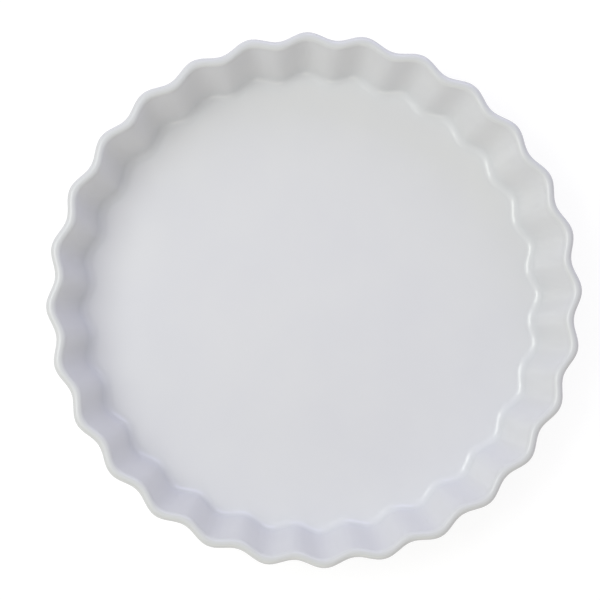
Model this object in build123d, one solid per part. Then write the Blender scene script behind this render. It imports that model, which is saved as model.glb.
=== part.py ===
from build123d import *
import os
from dataclasses import dataclass
from math import asin, atan2, cos, hypot, pi, sin

# A fluted quiche dish: one piece of glazed porcelain, with a flat floor, a leaning wall
# whose flutes run from the rim down to the floor, a rounded rim and a round foot ring.
# Millimetres, +Z up. The origin is the centre of the face that the foot rests on, and
# the crest of one flute points along +X.

# The outside of the dish. Its diameters are measured across the crests of the flutes.
RIM_DIAMETER = 280.0
DISH_HEIGHT = 40.0
BASE_FLAT_DIAMETER = 246.0  # the flat of the underside, where the wall begins to turn up
BASE_EDGE_RADIUS = 6.0

# The inside of the dish.
FLOOR_INSET = 3.5  # how far the flat of the floor ends inside the flat of the underside
FLOOR_FLAT_DIAMETER = BASE_FLAT_DIAMETER - 2 * FLOOR_INSET
FLOOR_CORNER_RADIUS = 5.5
FLOOR_THICKNESS = 4.5
RIM_THICKNESS = 5.4  # the rim is a full round, as thick as the wall is there

# The flutes.
FLUTE_COUNT = 28
FLUTE_DEPTH = 4.05  # from crest to valley

# The foot ring under the floor.
FOOT_HEIGHT = 1.5
FOOT_SETBACK = 2.6  # from the valleys of the underside's outline to the ring's root
FOOT_ROOT_WIDTH = 5.4
FOOT_FACE_WIDTH = 3.8  # the flat that is ground clear of glaze, and that the dish rests on

# The points that half a flute's curve runs through, from crest to valley, are this many
# equal steps apart. The curve is square to the radius at both ends.
FLUTE_STEPS = 3

# The straight steps that stand for each rounding of the dish's profile.
BASE_EDGE_STEPS = 3
RIM_OUTSIDE_STEPS = 3  # from the widest line of the rim to its top
RIM_INSIDE_STEPS = 2  # from the top to the inside of the wall
FLOOR_CORNER_STEPS = 3

# Directions in the profile, as angles above the outward one.
OUTWARD = 0
UPWARD = pi / 2
INWARD = pi
DOWNWARD = -pi / 2

FLOOR_HEIGHT = FOOT_HEIGHT + FLOOR_THICKNESS


@dataclass
class Rounding:
    """A round stretch of the profile, seen in the section through a flute's crest."""

    distance: float  # of the circle's centre from the dish's axis
    height: float  # of the circle's centre
    radius: float

    def at(self, angle):
        """The distance and height of the place at an angle above the outward direction."""
        return self.distance + self.radius * cos(angle), self.height + self.radius * sin(angle)

    def lean_to(self, other, offset):
        """Lean from upright of the straight wall between this rounding and another.

        The offset is how far the wall moves off the line between the two centres on its
        way: the radii's difference where it touches both circles on one side, and their
        sum where it passes between them.
        """
        out = other.distance - self.distance
        up = other.height - self.height
        return atan2(out, up) - asin(offset / hypot(out, up))


BASE_EDGE = Rounding(BASE_FLAT_DIAMETER / 2, FOOT_HEIGHT + BASE_EDGE_RADIUS, BASE_EDGE_RADIUS)
FLOOR_CORNER = Rounding(
    FLOOR_FLAT_DIAMETER / 2, FLOOR_HEIGHT + FLOOR_CORNER_RADIUS, FLOOR_CORNER_RADIUS
)
RIM = Rounding(
    (RIM_DIAMETER - RIM_THICKNESS) / 2, DISH_HEIGHT - RIM_THICKNESS / 2, RIM_THICKNESS / 2
)
WIDEST_LINE = Rounding(RIM_DIAMETER / 2, RIM.height, 0)


def steps_between(start, end, steps):
    """Equal steps from one angle to another, both included."""
    return [start + (end - start) * step / steps for step in range(steps + 1)]


def profile():
    """The section through a crest: from under the floor, over the rim, to the floor.

    Each row holds a distance from the axis and a height.
    """
    outside_lean = BASE_EDGE.lean_to(WIDEST_LINE, BASE_EDGE.radius)
    inside_lean = FLOOR_CORNER.lean_to(RIM, FLOOR_CORNER.radius + RIM.radius)
    under = steps_between(DOWNWARD, OUTWARD - outside_lean, BASE_EDGE_STEPS)
    over = steps_between(OUTWARD, UPWARD, RIM_OUTSIDE_STEPS)
    over += steps_between(UPWARD, INWARD - inside_lean, RIM_INSIDE_STEPS)[1:]
    within = steps_between(OUTWARD - inside_lean, DOWNWARD, FLOOR_CORNER_STEPS)
    rows = [BASE_EDGE.at(angle) for angle in under]
    rows += [RIM.at(angle) for angle in over]
    rows += [FLOOR_CORNER.at(angle) for angle in within]
    return rows


def flute_place(crest_distance, height, angle):
    """The place on the wave of the flutes at one height and one angle round the axis."""
    drop = FLUTE_DEPTH * (1 - cos(FLUTE_COUNT * angle)) / 2
    distance = crest_distance - drop
    return Vector(distance * cos(angle), distance * sin(angle), height)


def half_flute(crest_distance, height, start, end):
    """The curve from a crest to a valley or back, square to the radius at both ends."""
    points = [
        flute_place(crest_distance, height, angle)
        for angle in steps_between(start, end, FLUTE_STEPS)
    ]
    ways = [Vector(-sin(angle), cos(angle), 0) for angle in (start, end)]
    return Spline(*points, tangents=ways)


def fluted_outline(crest_distance, height):
    """The closed outline of all the flutes at one height."""
    half_pitch = pi / FLUTE_COUNT
    turns = [half * half_pitch for half in range(2 * FLUTE_COUNT)]
    return Wire(
        [half_flute(crest_distance, height, turn, turn + half_pitch) for turn in turns]
    )


def fluted_bowl():
    """Floor, wall and rim: one loft through the outlines, up the outside, down the inside."""
    return Solid.make_loft([fluted_outline(*row) for row in profile()], ruled=True)


def foot_ring():
    """The ring that the dish stands on: a tapered section turned about the axis."""
    root_outside = BASE_FLAT_DIAMETER / 2 - FLUTE_DEPTH - FOOT_SETBACK
    root_inside = root_outside - FOOT_ROOT_WIDTH
    face_outside = (root_outside + root_inside + FOOT_FACE_WIDTH) / 2
    face_inside = face_outside - FOOT_FACE_WIDTH
    section = Polyline(
        (root_inside, FOOT_HEIGHT),
        (face_inside, 0),
        (face_outside, 0),
        (root_outside, FOOT_HEIGHT),
        close=True,
    )
    return revolve(Plane.XZ * make_face(section), Axis.Z)


def fluted_dish():
    """The whole dish: the bowl on its foot ring."""
    dish = fluted_bowl() + foot_ring()
    dish.label = "fluted_dish"
    return dish


def main():
    """Build the dish and write it."""
    os.makedirs("parts", exist_ok=True)
    export_step(fluted_dish(), "parts/fluted_dish.step")


main()
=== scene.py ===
import logging
import math
from collections.abc import Callable, Iterable
from dataclasses import dataclass
from enum import Enum

import bmesh
import bpy
from mathutils import Matrix, Vector


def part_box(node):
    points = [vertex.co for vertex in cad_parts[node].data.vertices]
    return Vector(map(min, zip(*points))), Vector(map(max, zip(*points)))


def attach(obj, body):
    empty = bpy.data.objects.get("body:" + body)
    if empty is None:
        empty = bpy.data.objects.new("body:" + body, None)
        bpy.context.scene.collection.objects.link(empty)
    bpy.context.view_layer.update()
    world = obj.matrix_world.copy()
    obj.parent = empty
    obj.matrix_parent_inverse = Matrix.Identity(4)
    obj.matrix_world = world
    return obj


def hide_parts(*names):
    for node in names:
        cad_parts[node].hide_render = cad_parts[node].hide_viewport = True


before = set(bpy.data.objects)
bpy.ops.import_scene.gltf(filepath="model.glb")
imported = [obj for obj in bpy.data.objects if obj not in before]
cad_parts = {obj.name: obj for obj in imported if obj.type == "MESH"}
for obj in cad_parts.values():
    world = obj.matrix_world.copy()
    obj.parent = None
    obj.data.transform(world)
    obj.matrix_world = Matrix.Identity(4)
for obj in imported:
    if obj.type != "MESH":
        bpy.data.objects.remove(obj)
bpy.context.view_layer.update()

# A fluted quiche dish in white glazed porcelain, seen almost straight down in window light.
# Sizes are in millimetres, in the same frame as the CAD: +Z up, the origin at the centre of
# the face that the foot rests on, and the crest of one flute along +X. The rounded places are
# measured in the section through a flute's crest.

MM = 0.001  # metres in a millimetre
SAME_PLACE = MM / 1000  # metres: corners closer than this are one

# Directions in the dish's profile, as angles above the outward one.
OUTWARD = 0.0
UPWARD = math.pi / 2
INWARD = math.pi
DOWNWARD = -math.pi / 2

# How deep the glaze lies, as it is noted on the dish's corners. The lowest value also marks the
# painted shade over the rim's crown.
THIN_AND_SHADED = 0.0
EVEN = 0.5
POOLED = 1.0

# The sRGB curve: straight up to its knee, and a power above it.
SRGB_KNEE = 0.04045
SRGB_SLOPE = 12.92
SRGB_OFFSET = 0.055
SRGB_POWER = 2.4

# Sockets of a node that mixes two colours.
MIX_SHARE, MIX_FROM, MIX_TO = 0, 6, 7  # going in
MIXED = 2  # coming out

Point = tuple[float, float]
Colour = tuple[float, float, float, float]

log = logging.getLogger("dish")


def linear(code: str) -> Colour:
    """Turn an sRGB hex value into a linear colour.

    Args:
        code: six hex digits after a hash sign.

    Returns:
        The colour as red, green, blue and an alpha of one.
    """
    shares = [int(code[place : place + 2], 16) / 255 for place in (1, 3, 5)]
    red, green, blue = (
        share / SRGB_SLOPE
        if share <= SRGB_KNEE
        else ((share + SRGB_OFFSET) / (1 + SRGB_OFFSET)) ** SRGB_POWER
        for share in shares
    )
    return red, green, blue, 1.0


def between(start: float, end: float, steps: int) -> list[float]:
    """Give equal steps from one value to another, both included."""
    return [start + (end - start) * step / steps for step in range(steps + 1)]


def straight(start: Point, end: Point, steps: int) -> list[Point]:
    """Step along a straight run.

    Args:
        start: of the run, which isn't given back.
        end: of the run.
        steps: how many equal steps it takes.

    Returns:
        The points after the start, with the end as the last.
    """
    outs = between(start[0], end[0], steps)
    ups = between(start[1], end[1], steps)
    return list(zip(outs, ups))[1:]


def eased(start: Point, corner: Point, end: Point, steps: int) -> list[Point]:
    """Round a corner off.

    Args:
        start: where the rounding begins.
        corner: the sharp corner that it replaces.
        end: where the rounding ends.
        steps: how many straight steps stand for the curve.

    Returns:
        The points of the rounding, both ends included.
    """
    points = []
    for share in between(0, 1, steps):
        weights = ((1 - share) ** 2, 2 * share * (1 - share), share**2)
        out, up = (
            sum(weight * point[axis] for weight, point in zip(weights, (start, corner, end)))
            for axis in (0, 1)
        )
        points.append((out, up))
    return points


def bump(distance: float, reach: float) -> float:
    """Fall softly from one at a place to nothing well beyond a reach round it."""
    return math.exp(-((distance / reach) ** 2))


def add_node(
    tree: bpy.types.NodeTree,
    kind: str,
    settings: dict[str, object] | None = None,
    values: dict[str | int, object] | None = None,
    links: dict[str | int, bpy.types.NodeSocket] | None = None,
) -> bpy.types.Node:
    """Add a node with its settings, its constants and what feeds it.

    Args:
        tree: the material's or the world's nodes.
        kind: the node's type name.
        settings: properties of the node itself.
        values: constants, by the name or number of the input socket.
        links: output sockets of other nodes, by the name or number of the input socket.

    Returns:
        The new node.
    """
    node = tree.nodes.new(kind)
    for name, value in (settings or {}).items():
        setattr(node, name, value)
    for name, value in (values or {}).items():
        node.inputs[name].default_value = value
    for name, socket in (links or {}).items():
        tree.links.new(socket, node.inputs[name])
    return node


def start_material(
    name: str,
) -> tuple[bpy.types.Material, bpy.types.NodeTree, bpy.types.NodeSocket]:
    """Start a material with an empty node tree.

    Args:
        name: of the material.

    Returns:
        The material, its nodes, and the object coordinates to place patterns by.
    """
    made = bpy.data.materials.new(name)
    made.use_nodes = True
    tree = made.node_tree
    tree.nodes.clear()
    return made, tree, add_node(tree, "ShaderNodeTexCoord").outputs["Object"]


class Finish(Enum):
    """The finishes on the dish, as the numbers of its material slots."""

    GLAZED = 0
    BARE = 1


class Way(Enum):
    """The ways in which clay or glaze strays from its true shape."""

    ALONG_X = "X"
    ALONG_Y = "Y"
    UP = "Z"
    OUT_OF_THE_SURFACE = "NORMAL"


@dataclass(frozen=True)
class Rounding:
    """A round stretch of the dish's profile, in the section through a flute's crest."""

    distance: float  # of the circle's centre from the dish's axis
    height: float  # of the circle's centre
    radius: float

    def at(self, angle: float) -> Point:
        """Give the distance and height of the place at an angle above the outward one."""
        out = self.distance + self.radius * math.cos(angle)
        return out, self.height + self.radius * math.sin(angle)

    def arc(self, start: float, end: float, steps: int) -> list[Point]:
        """Give equal steps along the rounding, both ends included."""
        return [self.at(angle) for angle in between(start, end, steps)]

    def lean_to(self, other: "Rounding", offset: float) -> float:
        """Find the lean of the straight wall that touches this rounding and another.

        Args:
            other: the rounding at the wall's far end.
            offset: how far the wall moves off the line between the two centres on its way.

        Returns:
            The wall's lean from upright, in radians.
        """
        out = other.distance - self.distance
        up = other.height - self.height
        return math.atan2(out, up) - math.asin(offset / math.hypot(out, up))


class Workpiece:
    """One mesh on the bench. Its methods are the hand's moves, and act on what is selected."""

    def __init__(self, name: str, corners: int, radius: float, height: float) -> None:
        """Start the mesh with a ring round the dish's axis, all selected.

        Args:
            name: of the piece.
            corners: how many corners the ring has.
            radius: of the ring.
            height: of the ring above the resting face.
        """
        bpy.ops.object.select_all(action="DESELECT")
        bpy.ops.mesh.primitive_circle_add(vertices=corners, radius=radius * MM)
        self.piece = bpy.context.object
        self.piece.name = name
        self.height = 0.0
        bpy.ops.object.mode_set(mode="EDIT")
        bpy.ops.mesh.select_mode(type="VERT")
        self.lift(height)

    def lift(self, up: float) -> None:
        """Move what is selected upwards."""
        bpy.ops.transform.translate(value=(0, 0, up * MM))
        self.height += up

    def spread(self, out: float) -> None:
        """Move each selected corner away from the axis by the same distance."""
        bpy.ops.transform.push_pull(value=-out * MM, center_override=(0, 0, self.height * MM))

    def shrink(self, share: float) -> None:
        """Scale what is selected towards the axis."""
        bpy.ops.transform.resize(value=(share, share, 1), center_override=(0, 0, self.height * MM))

    def follow(self, rows: list[Point]) -> None:
        """Draw the selected ring along a section.

        Args:
            rows: the section's points. The ring lies at the first, and ends at the last.
        """
        for (out, up), (next_out, next_up) in zip(rows, rows[1:]):
            bpy.ops.mesh.extrude_region_move()
            self.lift(next_up - up)
            self.spread(next_out - out)

    def held(self) -> list[int]:
        """Give the numbers of the selected corners."""
        mesh = bmesh.from_edit_mesh(self.piece.data)
        return [corner.index for corner in mesh.verts if corner.select]

    def hold(self, numbers: Iterable[int]) -> None:
        """Select some corners and nothing else.

        Args:
            numbers: of the corners.
        """
        bpy.ops.mesh.select_all(action="DESELECT")
        mesh = bmesh.from_edit_mesh(self.piece.data)
        mesh.verts.ensure_lookup_table()
        for number in numbers:
            mesh.verts[number].select = True
        mesh.select_flush_mode()
        bmesh.update_edit_mesh(self.piece.data)

    def press_waves(self, count: int, depth: float, phases: int) -> None:
        """Press a wave into the selected ring: one set of like corners after another.

        Args:
            count: how many waves go round.
            depth: how far each valley lies inside each crest; below zero takes a wave out.
            phases: how many corners one wave has.
        """
        mesh = bmesh.from_edit_mesh(self.piece.data)
        phase_of = {}
        for corner in mesh.verts:
            if corner.select:
                turn = math.atan2(corner.co.y, corner.co.x) / math.tau * count
                phase_of[corner.index] = round(turn % 1 * phases) % phases
        for phase in range(phases):
            self.hold(number for number, own in phase_of.items() if own == phase)
            self.spread(-depth * (1 - math.cos(math.tau * phase / phases)) / 2)
        self.hold(phase_of)

    def thin_out(self, corners: int, radius: float) -> None:
        """Join the selected ring to a plain ring of fewer corners inside it, and hold that.

        Args:
            corners: of the new ring.
            radius: of the new ring.
        """
        lift = radius / 4  # while they are joined: rings on one level can come out twisted
        bpy.ops.object.vertex_group_assign_new()
        bpy.ops.mesh.primitive_circle_add(
            vertices=corners, radius=radius * MM, location=(0, 0, (self.height + lift) * MM)
        )
        bpy.ops.object.vertex_group_select()
        bpy.ops.mesh.bridge_edge_loops()
        bpy.ops.object.vertex_group_deselect()
        bpy.ops.object.vertex_group_remove()
        bpy.ops.transform.translate(value=(0, 0, -lift * MM))

    def finish_mesh(self) -> None:
        """Turn all faces outwards and leave the bench."""
        bpy.ops.mesh.select_all(action="SELECT")
        bpy.ops.mesh.remove_doubles(threshold=SAME_PLACE)
        bpy.ops.mesh.normals_make_consistent(inside=False)
        bpy.ops.object.mode_set(mode="OBJECT")

    def weigh(self, name: str, weight: Callable[[float, float], float]) -> None:
        """Mark how far each corner may stray, as a vertex group.

        Args:
            name: of the group.
            weight: gives a share from a distance and a height in millimetres.
        """
        group = self.piece.vertex_groups.new(name=name)
        for corner in self.piece.data.vertices:
            place = corner.co / MM
            share = weight(math.hypot(place.x, place.y), place.z)
            group.add([corner.index], min(max(share, 0.0), 1.0), "REPLACE")

    def stray(self, way: Way, group: str, reach: float, scale: float) -> None:
        """Move the surface a little off its true shape, unevenly.

        Args:
            way: the direction.
            group: the vertex group that says where.
            reach: the most it moves either way.
            scale: the size of the unevenness along the surface.
        """
        noise = bpy.data.textures.new(f"{group}_{way.name.lower()}", "CLOUDS")
        noise.noise_scale = scale * MM
        noise.noise_depth = 1
        move = self.piece.modifiers.new(noise.name, "DISPLACE")
        move.texture = noise
        move.texture_coords = "LOCAL"
        move.direction = way.value
        move.vertex_group = group
        move.strength = 2 * reach * MM
        bpy.ops.object.modifier_apply(modifier=move.name)
        bpy.data.textures.remove(noise)


@dataclass(frozen=True)
class FootRing:
    """The ring that the dish stands on: glazed, but for the face that was wiped and ground."""

    height: float = 1.5
    root_width: float = 5.4
    face_width: float = 3.8
    fillet: float = 0.7  # how far the rounding of its root runs along both sides
    face_easing: float = 0.3  # how far the rounding of the face's edges runs
    glaze_line: float = 0.5  # height at which the glaze stops
    glaze_step: float = 0.1  # the glaze's thickness where it stops
    glaze_lip: float = 1 / 3  # the chamfer of the glaze's edge, as a share of its thickness
    steps: int = 4  # in each rounding

    def side(self) -> list[Point]:
        """Give the outer half of the section, from the dish's underside to the face.

        Returns:
            Points as a distance from the middle of the ring's width, and a height.
        """
        root = (self.root_width / 2, self.height)
        foot = (self.face_width / 2, 0.0)
        run = math.dist(root, foot)

        def on_slope(travel: float) -> Point:
            """Give a place on the sloping side.

            Args:
                travel: its distance from the root, along the side.

            Returns:
                Its distance from the middle of the ring's width, and its height.
            """
            share = travel / run
            return (
                root[0] + (foot[0] - root[0]) * share,
                root[1] + (foot[1] - root[1]) * share,
            )

        stop = on_slope(run * (1 - self.glaze_line / self.height))
        rows = eased(
            (root[0] + self.fillet, self.height), root, on_slope(self.fillet), self.steps
        )
        rows.append((stop[0], stop[1] + self.glaze_step))
        lip = self.glaze_step * self.glaze_lip
        rows.append((stop[0] - lip, stop[1]))
        rows.append((stop[0] - self.glaze_step, stop[1] - lip))
        edge = (foot[0] - self.glaze_step, 0.0)
        start = on_slope(run - self.face_easing)
        rows += eased(
            (start[0] - self.glaze_step, start[1]),
            edge,
            (edge[0] - self.face_easing, 0.0),
            self.steps,
        )
        return rows

    def section(self, middle: float) -> list[Point]:
        """Give the whole section from the outer side to the inner one.

        Args:
            middle: distance of the ring's middle from the dish's axis.

        Returns:
            Points as a distance from the dish's axis, and a height.
        """
        side = self.side()
        outer = [(middle + out, up) for out, up in side]
        return outer + [(middle - out, up) for out, up in reversed(side)]


@dataclass
class FlutedDish:
    """The dish: floor, fluted wall, rim and foot ring, one piece of porcelain."""

    rim_diameter: float
    height: float
    base_flat_diameter: float = 246.0
    base_edge_radius: float = 6.0
    floor_inset: float = 3.5
    floor_corner_radius: float = 5.5
    floor_thickness: float = 4.5
    rim_thickness: float = 5.4
    flute_count: int = 28
    flute_depth: float = 4.05
    foot: FootRing = FootRing()
    foot_setback: float = 2.6

    # How finely the mesh is drawn.
    corners_per_flute: int = 16
    rounding_steps: int = 9
    rim_steps: int = 16
    wall_steps: int = 14
    disc_corners: int = 112
    disc_ring: float = 8.0  # the distance between two rings of the flat discs
    disc_margin: tuple[float, ...] = (0.99, 0.985, 0.98, 0.97)  # close rings beside a fillet

    # How far the fired dish strays from its true shape, and over what distance.
    warp: float = 0.35
    warp_scale: float = 38.0
    sag: float = 0.25
    sag_scale: float = 70.0
    sag_power: int = 3  # keeps the sag to the upper wall
    ripple: float = 0.05
    ripple_scale: float = 11.0

    # How far the glaze gathers in the corner round the floor, and thins over the rim, where
    # painted shade darkens the crown.
    pool_reach: float = 5.0
    thin_and_shade_reach: float = 2.6

    def __post_init__(self) -> None:
        """Work out the roundings from the sizes."""
        self.floor_height = self.foot.height + self.floor_thickness
        self.base_edge = Rounding(
            self.base_flat_diameter / 2,
            self.foot.height + self.base_edge_radius,
            self.base_edge_radius,
        )
        self.floor_corner = Rounding(
            self.base_flat_diameter / 2 - self.floor_inset,
            self.floor_height + self.floor_corner_radius,
            self.floor_corner_radius,
        )
        self.rim = Rounding(
            (self.rim_diameter - self.rim_thickness) / 2,
            self.height - self.rim_thickness / 2,
            self.rim_thickness / 2,
        )

    def profile(self) -> list[Point]:
        """Work out the section through a flute's crest.

        Returns:
            Its points from under the wall, up the outside, over the rim and down to the floor.
        """
        outside = self.base_edge.lean_to(self.rim, self.base_edge.radius - self.rim.radius)
        inside = self.floor_corner.lean_to(self.rim, self.floor_corner.radius + self.rim.radius)
        rows = self.base_edge.arc(DOWNWARD, OUTWARD - outside, self.rounding_steps)
        rows += straight(rows[-1], self.rim.at(OUTWARD - outside), self.wall_steps)
        rows += self.rim.arc(OUTWARD - outside, INWARD - inside, self.rim_steps)[1:]
        rows += straight(rows[-1], self.floor_corner.at(OUTWARD - inside), self.wall_steps)
        rows += self.floor_corner.arc(OUTWARD - inside, DOWNWARD, self.rounding_steps)[1:]
        return rows

    def build(self) -> bpy.types.Object:
        """Model the dish ring by ring, and let it stray a little.

        Returns:
            The dish's object.
        """
        rows = self.profile()
        around = self.flute_count * self.corners_per_flute
        work = Workpiece("fluted_dish_glazed", around, *rows[0])
        work.press_waves(self.flute_count, self.flute_depth, self.corners_per_flute)
        start = work.held()
        work.follow(rows)
        self.close_flat(work, self.floor_corner.distance - self.flute_depth)
        work.hold(start)
        work.height = self.foot.height
        self.add_foot(work)
        work.finish_mesh()
        self.let_stray(work)
        bpy.ops.object.shade_smooth()
        self.note_glaze(work.piece.data)
        return work.piece

    def add_foot(self, work: Workpiece) -> None:
        """Draw the foot ring down from the underside, and close the flat inside it.

        Args:
            work: the piece on the bench, with the first ring of the profile selected.
        """
        base = self.base_edge.distance
        root = base - self.flute_depth - self.foot_setback
        section = self.foot.section(root - self.foot.root_width / 2)
        bpy.ops.mesh.extrude_region_move()
        work.spread(section[0][0] - base)
        work.press_waves(self.flute_count, -self.flute_depth, self.corners_per_flute)
        work.follow(section)
        self.close_flat(work, section[-1][0])

    def close_flat(self, work: Workpiece, radius: float) -> None:
        """Close the flat disc inside the selected ring, with fewer corners towards a pole.

        Args:
            work: the piece on the bench.
            radius: the ring's smallest distance from the axis.
        """
        for share in self.disc_margin:
            bpy.ops.mesh.extrude_region_move()
            work.shrink(share)
            radius *= share
        inner = radius - self.disc_ring
        work.thin_out(self.disc_corners, inner)
        rings = int(inner / self.disc_ring)
        rows = straight((inner, work.height), (inner / rings, work.height), rings - 1)
        work.follow([(inner, work.height)] + rows)
        bpy.ops.mesh.merge(type="CENTER")

    def let_stray(self, work: Workpiece) -> None:
        """Give the dish the small unevenness of fired clay and flowed glaze.

        Args:
            work: the finished mesh, off the bench.
        """
        floor, rise = self.floor_height, self.height - self.floor_height
        line = self.foot.glaze_line
        work.weigh("wall", lambda out, up: (up - floor) / rise)
        work.weigh("rim", lambda out, up: ((up - floor) / rise) ** self.sag_power)
        work.weigh("glazed", lambda out, up: (up - line) / line)
        work.stray(Way.ALONG_X, "wall", self.warp, self.warp_scale)
        work.stray(Way.ALONG_Y, "wall", self.warp, self.warp_scale + self.ripple_scale)
        work.stray(Way.UP, "rim", self.sag, self.sag_scale)
        work.stray(Way.OUT_OF_THE_SURFACE, "glazed", self.ripple, self.ripple_scale)

    def note_glaze(self, mesh: bpy.types.Mesh) -> None:
        """Note on each corner how deep the glaze lies, with the painted shade over the rim's
        crown, and leave the foot's face bare.

        Args:
            mesh: the finished mesh.
        """
        pool = self.floor_corner.at((OUTWARD + DOWNWARD) / 2)
        crown = self.rim.at(UPWARD)
        depth = mesh.attributes.new("glaze_depth_and_rim_shade", "FLOAT", "POINT")
        for corner in mesh.vertices:
            place = corner.co / MM
            turn = math.atan2(place.y, place.x) * self.flute_count
            drop = self.flute_depth * (1 - math.cos(turn)) / 2
            at = (math.hypot(place.x, place.y) + drop, place.z)
            gathered = bump(math.dist(at, pool), self.pool_reach)
            # painted shade over the rim's crown, which the lamps light most, where the glaze also
            # runs thinnest
            thinned_and_shaded = bump(math.dist(at, crown), self.thin_and_shade_reach)
            depth.data[corner.index].value = (
                EVEN + (POOLED - EVEN) * gathered - (EVEN - THIN_AND_SHADED) * thinned_and_shaded
            )
        for face in mesh.polygons:
            top = max(mesh.vertices[number].co.z for number in face.vertices) / MM
            bare = top < self.foot.glaze_line - self.foot.glaze_step * self.foot.glaze_lip / 2
            face.material_index = (Finish.BARE if bare else Finish.GLAZED).value

    def dress(self, piece: bpy.types.Object) -> None:
        """Give the dish its finishes and its place in the part.

        Args:
            piece: the dish's object.
        """
        made = {Finish.GLAZED: GlazedPorcelain().material(), Finish.BARE: BareBisque().material()}
        for finish in Finish:
            piece.data.materials.append(made[finish])
        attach(piece, "root")
        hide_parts("fluted_dish")


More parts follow.
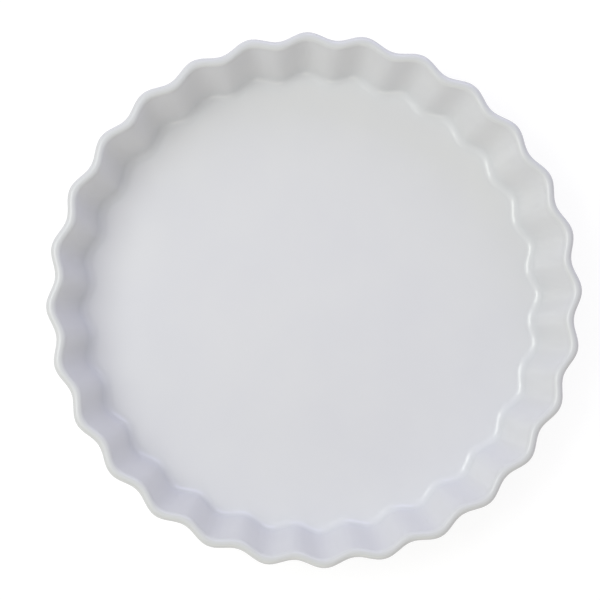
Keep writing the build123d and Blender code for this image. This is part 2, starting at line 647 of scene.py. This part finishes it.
@dataclass(frozen=True)
class GlazedPorcelain:
    """Hard-paste porcelain, pressed, and fired with a clear glossy glaze.

    The body is a cool white. The glaze gives it a sharp narrow highlight, softened by a faint
    orange-peel wave, and looks a shade deeper where it gathered; the rim's crown has painted
    shade.
    """

    body: str = "#DEDFE1"
    thin_and_shaded: str = "#D3D5D6"  # painted shade over the rim's crown, where the glaze is thinnest and the body shows through
    pooled: str = "#DBDDE0"
    cloud: str = "#DCDDE0"  # the body is never one even white
    speck: str = "#8C8880"  # iron grains that melted out in the firing
    ior: float = 1.52
    roughness: float = 0.08
    uneven_roughness: float = 0.04
    worn_roughness: float = 0.3  # on the rim, which is rubbed most
    bubbled_roughness: float = 0.18  # where the glaze gathered, full of fine bubbles
    worn_depths: Point = (0.45, 0.1)  # where the wear sets in, and where it is full
    bubbled_depths: Point = (0.6, POOLED)  # where the bubbles set in, and where they are full
    cloud_size: float = 34.0
    cloud_detail: float = 3.0
    cloud_edge: Point = (0.35, 0.7)  # the noise values between which a cloud grows
    smear_size: float = 16.0
    smear_detail: float = 4.0
    smear_swirl: float = 0.6
    smear_edge: Point = (0.3, 0.7)
    speck_spacing: float = 30.0
    speck_radius: float = 0.3
    speck_edge: Point = (1.6, 0.5)  # radii between which a speck grows to its full colour
    wave_length: float = 7.0
    wave_height: float = 0.012
    peel_length: float = 1.3
    peel_height: float = 0.0012
    wave_detail: float = 1.0

    def material(self) -> bpy.types.Material:
        """Make the material.

        Returns:
            The material, ready to put on a piece that carries its glaze's depth and the rim's
            painted shade.
        """
        made, tree, place = start_material("glazed_porcelain")
        colour = self.speckled(tree, place, self.clouded(tree, place))
        shader = add_node(
            tree,
            "ShaderNodeBsdfPrincipled",
            values={"IOR": self.ior},
            links={
                "Base Color": colour,
                "Roughness": self.sheen(tree, place),
                "Normal": self.wavy(tree, place),
            },
        )
        add_node(tree, "ShaderNodeOutputMaterial", links={"Surface": shader.outputs[0]})
        return made

    def clouded(
        self, tree: bpy.types.NodeTree, place: bpy.types.NodeSocket
    ) -> bpy.types.NodeSocket:
        """Mix the body's white with its clouds, with the glaze's own depth, and with the painted
        shade over the rim's crown.

        Args:
            tree: the material's nodes.
            place: object coordinates.

        Returns:
            The colour.
        """
        clouds = add_node(
            tree,
            "ShaderNodeTexNoise",
            values={"Scale": 1 / (self.cloud_size * MM), "Detail": self.cloud_detail},
            links={"Vector": place},
        )
        share = add_node(
            tree,
            "ShaderNodeMapRange",
            values={"From Min": self.cloud_edge[0], "From Max": self.cloud_edge[1]},
            links={"Value": clouds.outputs["Fac"]},
        )
        body = add_node(
            tree,
            "ShaderNodeMix",
            {"data_type": "RGBA"},
            {MIX_FROM: linear(self.body), MIX_TO: linear(self.cloud)},
            {MIX_SHARE: share.outputs[0]},
        )
        depth = add_node(tree, "ShaderNodeAttribute", {"attribute_name": "glaze_depth_and_rim_shade"})
        # the rim's crown gets its painted shade, the corner its gathered glaze
        for full, code in ((THIN_AND_SHADED, self.thin_and_shaded), (POOLED, self.pooled)):
            share = add_node(
                tree,
                "ShaderNodeMapRange",
                values={"From Min": EVEN, "From Max": full},
                links={"Value": depth.outputs["Fac"]},
            )
            body = add_node(
                tree,
                "ShaderNodeMix",
                {"data_type": "RGBA"},
                {MIX_TO: linear(code)},
                {MIX_SHARE: share.outputs[0], MIX_FROM: body.outputs[MIXED]},
            )
        return body.outputs[MIXED]

    def speckled(
        self,
        tree: bpy.types.NodeTree,
        place: bpy.types.NodeSocket,
        colour: bpy.types.NodeSocket,
    ) -> bpy.types.NodeSocket:
        """Scatter a few dark grains. They lie in the body, so only some reach the surface.

        Args:
            tree: the material's nodes.
            place: object coordinates.
            colour: of the clean surface.

        Returns:
            The colour with its specks.
        """
        grains = add_node(
            tree,
            "ShaderNodeTexVoronoi",
            values={"Scale": 1 / (self.speck_spacing * MM)},
            links={"Vector": place},
        )
        radius = self.speck_radius / self.speck_spacing
        share = add_node(
            tree,
            "ShaderNodeMapRange",
            {"interpolation_type": "SMOOTHSTEP"},
            {"From Min": self.speck_edge[0] * radius, "From Max": self.speck_edge[1] * radius},
            {"Value": grains.outputs["Distance"]},
        )
        mixed = add_node(
            tree,
            "ShaderNodeMix",
            {"data_type": "RGBA"},
            {MIX_TO: linear(self.speck)},
            {MIX_SHARE: share.outputs[0], MIX_FROM: colour},
        )
        return mixed.outputs[MIXED]

    def sheen(
        self, tree: bpy.types.NodeTree, place: bpy.types.NodeSocket
    ) -> bpy.types.NodeSocket:
        """Vary the gloss as handling leaves it, and dull it on the rim and in the corner.

        Args:
            tree: the material's nodes.
            place: object coordinates.

        Returns:
            The roughness.
        """
        smears = add_node(
            tree,
            "ShaderNodeTexNoise",
            values={
                "Scale": 1 / (self.smear_size * MM),
                "Detail": self.smear_detail,
                "Distortion": self.smear_swirl,
            },
            links={"Vector": place},
        )
        rough = add_node(
            tree,
            "ShaderNodeMapRange",
            values={
                "From Min": self.smear_edge[0],
                "From Max": self.smear_edge[1],
                "To Min": self.roughness - self.uneven_roughness / 2,
                "To Max": self.roughness + self.uneven_roughness / 2,
            },
            links={"Value": smears.outputs["Fac"]},
        )
        depth = add_node(tree, "ShaderNodeAttribute", {"attribute_name": "glaze_depth_and_rim_shade"})
        for depths, roughness in (
            (self.worn_depths, self.worn_roughness),
            (self.bubbled_depths, self.bubbled_roughness),
        ):
            rough = add_node(
                tree,
                "ShaderNodeMapRange",
                values={"From Min": depths[0], "From Max": depths[1], "To Max": roughness},
                links={"Value": depth.outputs["Fac"], "To Min": rough.outputs[0]},
            )
        return rough.outputs[0]

    def wavy(
        self, tree: bpy.types.NodeTree, place: bpy.types.NodeSocket
    ) -> bpy.types.NodeSocket:
        """Give the glaze its long waves and its orange peel.

        Args:
            tree: the material's nodes.
            place: object coordinates.

        Returns:
            The surface's direction.
        """
        normal = None
        for length, height in (
            (self.wave_length, self.wave_height),
            (self.peel_length, self.peel_height),
        ):
            waves = add_node(
                tree,
                "ShaderNodeTexNoise",
                values={"Scale": 1 / (length * MM), "Detail": self.wave_detail},
                links={"Vector": place},
            )
            ripples = add_node(
                tree,
                "ShaderNodeBump",
                values={"Distance": height * MM},
                links={"Height": waves.outputs["Fac"]},
            )
            if normal is not None:
                tree.links.new(normal, ripples.inputs["Normal"])
            normal = ripples.outputs[0]
        return normal


@dataclass(frozen=True)
class BareBisque:
    """The same porcelain without glaze, wiped before the firing and ground flat after it.

    It looks dry and a little warmer than the glaze, with fine grit and grey rubbed marks.
    """

    body: str = "#D6D2CA"
    rubbed: str = "#B9B5AC"
    roughness: float = 0.62
    grit: float = 0.45  # the real grit is finer, and is drawn as coarse as it needs to show
    grit_height: float = 0.02
    grit_detail: float = 2.0
    rub_size: float = 6.0
    rub_detail: float = 5.0
    rub_edge: Point = (0.5, 0.75)  # the noise values between which a rubbed mark grows

    def material(self) -> bpy.types.Material:
        """Make the material.

        Returns:
            The material, ready to put on a piece.
        """
        made, tree, place = start_material("bare_bisque")
        rubs = add_node(
            tree,
            "ShaderNodeTexNoise",
            values={"Scale": 1 / (self.rub_size * MM), "Detail": self.rub_detail},
            links={"Vector": place},
        )
        share = add_node(
            tree,
            "ShaderNodeMapRange",
            values={"From Min": self.rub_edge[0], "From Max": self.rub_edge[1]},
            links={"Value": rubs.outputs["Fac"]},
        )
        colour = add_node(
            tree,
            "ShaderNodeMix",
            {"data_type": "RGBA"},
            {MIX_FROM: linear(self.body), MIX_TO: linear(self.rubbed)},
            {MIX_SHARE: share.outputs[0]},
        )
        grains = add_node(
            tree,
            "ShaderNodeTexNoise",
            values={"Scale": 1 / (self.grit * MM), "Detail": self.grit_detail},
            links={"Vector": place},
        )
        grit = add_node(
            tree,
            "ShaderNodeBump",
            values={"Distance": self.grit_height * MM},
            links={"Height": grains.outputs["Fac"]},
        )
        shader = add_node(
            tree,
            "ShaderNodeBsdfPrincipled",
            values={"Roughness": self.roughness},
            links={"Base Color": colour.outputs[MIXED], "Normal": grit.outputs[0]},
        )
        add_node(tree, "ShaderNodeOutputMaterial", links={"Surface": shader.outputs[0]})
        return made


@dataclass(frozen=True)
class Lamp:
    """A flat soft lamp that faces the dish."""

    name: str
    azimuth: float  # degrees round the dish from +X, anticlockwise from above
    elevation: float  # degrees above the floor
    width: float  # metres
    height: float  # metres
    power: float  # watts
    colour: str = "#FCFFF9"
    distance: float = 1.5  # metres from the middle of the rim

    def hang(self, target: Vector) -> None:
        """Hang the lamp.

        Args:
            target: what it faces.
        """
        data = bpy.data.lights.new(self.name, "AREA")
        data.shape = "RECTANGLE"
        data.size = self.width
        data.size_y = self.height
        data.energy = self.power
        data.color = linear(self.colour)[:3]
        lamp = bpy.data.objects.new(self.name, data)
        bpy.context.scene.collection.objects.link(lamp)
        turn, rise = math.radians(self.azimuth), math.radians(self.elevation)
        away = Vector((math.cos(turn), math.sin(turn), math.tan(rise))).normalized()
        lamp.location = target + away * self.distance
        lamp.rotation_euler = away.to_track_quat("Z", "Y").to_euler()


def white_where_seen(tree: bpy.types.NodeTree) -> bpy.types.NodeSocket:
    """Tell looking from lighting.

    Args:
        tree: the material's or the world's nodes.

    Returns:
        One where a surface is looked at, straight or in a mirror, and nothing elsewhere.
    """
    path = add_node(tree, "ShaderNodeLightPath")
    seen = add_node(
        tree,
        "ShaderNodeMath",
        {"operation": "ADD"},
        links={0: path.outputs["Is Camera Ray"], 1: path.outputs["Is Glossy Ray"]},
    )
    return seen.outputs[0]


@dataclass(frozen=True)
class PaleFloor:
    """A plain pale floor that looks white and keeps the dish's shadow."""

    seen_colour: str = "#848484"
    glow: float = 0.84  # lifts what is seen of it to white
    bounce_colour: str = "#B8B8B8"  # what it throws back onto the dish
    fade_start: float = 0.7  # metres from the dish, where the glow begins to rise to the full
    fade_end: float = 3.0  # metres, so that the floor's far edge can't be told from the backdrop
    radius: float = 12.0  # metres
    corners: int = 96

    def lay(self) -> bpy.types.Object:
        """Lay the floor under the dish.

        Returns:
            The floor's object.
        """
        bpy.ops.object.select_all(action="DESELECT")
        bpy.ops.mesh.primitive_circle_add(
            vertices=self.corners, radius=self.radius, fill_type="NGON"
        )
        floor = bpy.context.object
        floor.name = "floor"
        made, tree, place = start_material("pale_floor")
        seen = white_where_seen(tree)
        colour = add_node(
            tree,
            "ShaderNodeMix",
            {"data_type": "RGBA"},
            {MIX_FROM: linear(self.bounce_colour), MIX_TO: linear(self.seen_colour)},
            {MIX_SHARE: seen},
        )
        matt = add_node(tree, "ShaderNodeBsdfDiffuse", links={"Color": colour.outputs[MIXED]})
        away = add_node(tree, "ShaderNodeVectorMath", {"operation": "LENGTH"}, links={0: place})
        rise = add_node(
            tree,
            "ShaderNodeMapRange",
            values={
                "From Min": self.fade_start,
                "From Max": self.fade_end,
                "To Min": self.glow,
                "To Max": 1.0,
            },
            links={"Value": away.outputs["Value"]},
        )
        level = add_node(
            tree,
            "ShaderNodeMath",
            {"operation": "MULTIPLY"},
            links={0: seen, 1: rise.outputs[0]},
        )
        glow = add_node(tree, "ShaderNodeEmission", links={"Strength": level.outputs[0]})
        both = add_node(
            tree, "ShaderNodeAddShader", links={0: matt.outputs[0], 1: glow.outputs[0]}
        )
        add_node(tree, "ShaderNodeOutputMaterial", links={"Surface": both.outputs[0]})
        floor.data.materials.append(made)
        return floor


@dataclass(frozen=True)
class Room:
    """The even soft light all round, with a white background."""

    light: float = 0.485
    colour: str = "#FFFCFB"
    backdrop: str = "#FFFFFF"

    def open(self) -> None:
        """Set the world up."""
        world = bpy.data.worlds.new("room")
        bpy.context.scene.world = world
        world.use_nodes = True
        tree = world.node_tree
        tree.nodes.clear()
        seen = white_where_seen(tree)
        level = add_node(
            tree,
            "ShaderNodeMapRange",
            values={"To Min": self.light, "To Max": 1.0},
            links={"Value": seen},
        )
        tint = add_node(
            tree,
            "ShaderNodeMix",
            {"data_type": "RGBA"},
            {MIX_FROM: linear(self.colour), MIX_TO: linear(self.backdrop)},
            {MIX_SHARE: seen},
        )
        light = add_node(
            tree,
            "ShaderNodeBackground",
            links={"Color": tint.outputs[MIXED], "Strength": level.outputs[0]},
        )
        add_node(tree, "ShaderNodeOutputWorld", links={"Surface": light.outputs[0]})


@dataclass(frozen=True)
class Viewpoint:
    """Where the photograph was taken from: almost straight above the dish."""

    azimuth: float = 218.3  # degrees round the dish from +X, the side that it leans to
    tilt: float = 4.8  # degrees off straight down
    roll: float = -1.97  # degrees
    distance: float = 1.0  # metres from the middle of the rim
    lens: float = 115.1
    aim_left: float = 8.39  # how far the aim lies left of the rim's middle
    aim_below: float = 0.865

    def set_camera(self, rim_centre: Vector) -> None:
        """Stand the camera there and make it the scene's.

        Args:
            rim_centre: the middle of the rim.
        """
        data = bpy.data.cameras.new("camera")
        data.lens = self.lens
        camera = bpy.data.objects.new("camera", data)
        bpy.context.scene.collection.objects.link(camera)
        turn, tilt, roll = (math.radians(angle) for angle in (self.azimuth, self.tilt, self.roll))
        back = Vector(
            (math.cos(turn) * math.sin(tilt), math.sin(turn) * math.sin(tilt), math.cos(tilt))
        )
        right = Vector((-math.sin(roll), math.cos(roll), 0)).cross(back).normalized()
        up = back.cross(right)
        target = rim_centre - (right * self.aim_left + up * self.aim_below) * MM
        place = rim_centre + back * self.distance
        look = (place - target).normalized()
        right = up.cross(look).normalized()
        axes = Matrix((right, look.cross(right), look)).transposed()
        camera.matrix_world = Matrix.Translation(place) @ axes.to_4x4()
        bpy.context.scene.camera = camera


@dataclass(frozen=True)
class Studio:
    """Everything that isn't part of the dish: floor, room, lamps and camera."""

    floor: PaleFloor = PaleFloor()
    room: Room = Room()
    viewpoint: Viewpoint = Viewpoint()
    lamps: tuple[Lamp, ...] = (
        Lamp("window", azimuth=168, elevation=54, width=0.78, height=0.68, power=7.2),
        Lamp(
            "window_glow",
            azimuth=172,
            elevation=56,
            width=1.7,
            height=1.7,
            power=5.0,
            colour="#FDFFFB",
        ),
        Lamp(
            "sky_fill",
            azimuth=70,
            elevation=29,
            width=1.1,
            height=0.8,
            power=5.8,
            colour="#D4D4FF",
        ),
        Lamp(
            "wall_bounce",
            azimuth=270,
            elevation=16,
            width=0.9,
            height=0.5,
            power=2.4,
            colour="#FFFAE2",
        ),
    )

    def set_up(self, rim_centre: Vector) -> None:
        """Lay the floor, light the dish and stand the camera.

        Args:
            rim_centre: the middle of the rim.
        """
        self.floor.lay()
        self.room.open()
        for lamp in self.lamps:
            lamp.hang(rim_centre)
            log.info("lamp %s: %.1f W", lamp.name, lamp.power)
        self.viewpoint.set_camera(rim_centre)
        bpy.context.scene.view_settings.view_transform = "Standard"


def main() -> None:
    """Build the dish and its studio."""
    logging.basicConfig(level=logging.INFO, format="%(message)s")
    low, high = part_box("fluted_dish")
    dish = FlutedDish(rim_diameter=(high.x - low.x) / MM, height=(high.z - low.z) / MM)
    piece = dish.build()
    dish.dress(piece)
    log.info("%s: %d faces", piece.name, len(piece.data.polygons))
    Studio().set_up(Vector((0, 0, dish.rim.height * MM)))


if __name__ == "__main__":
    main()
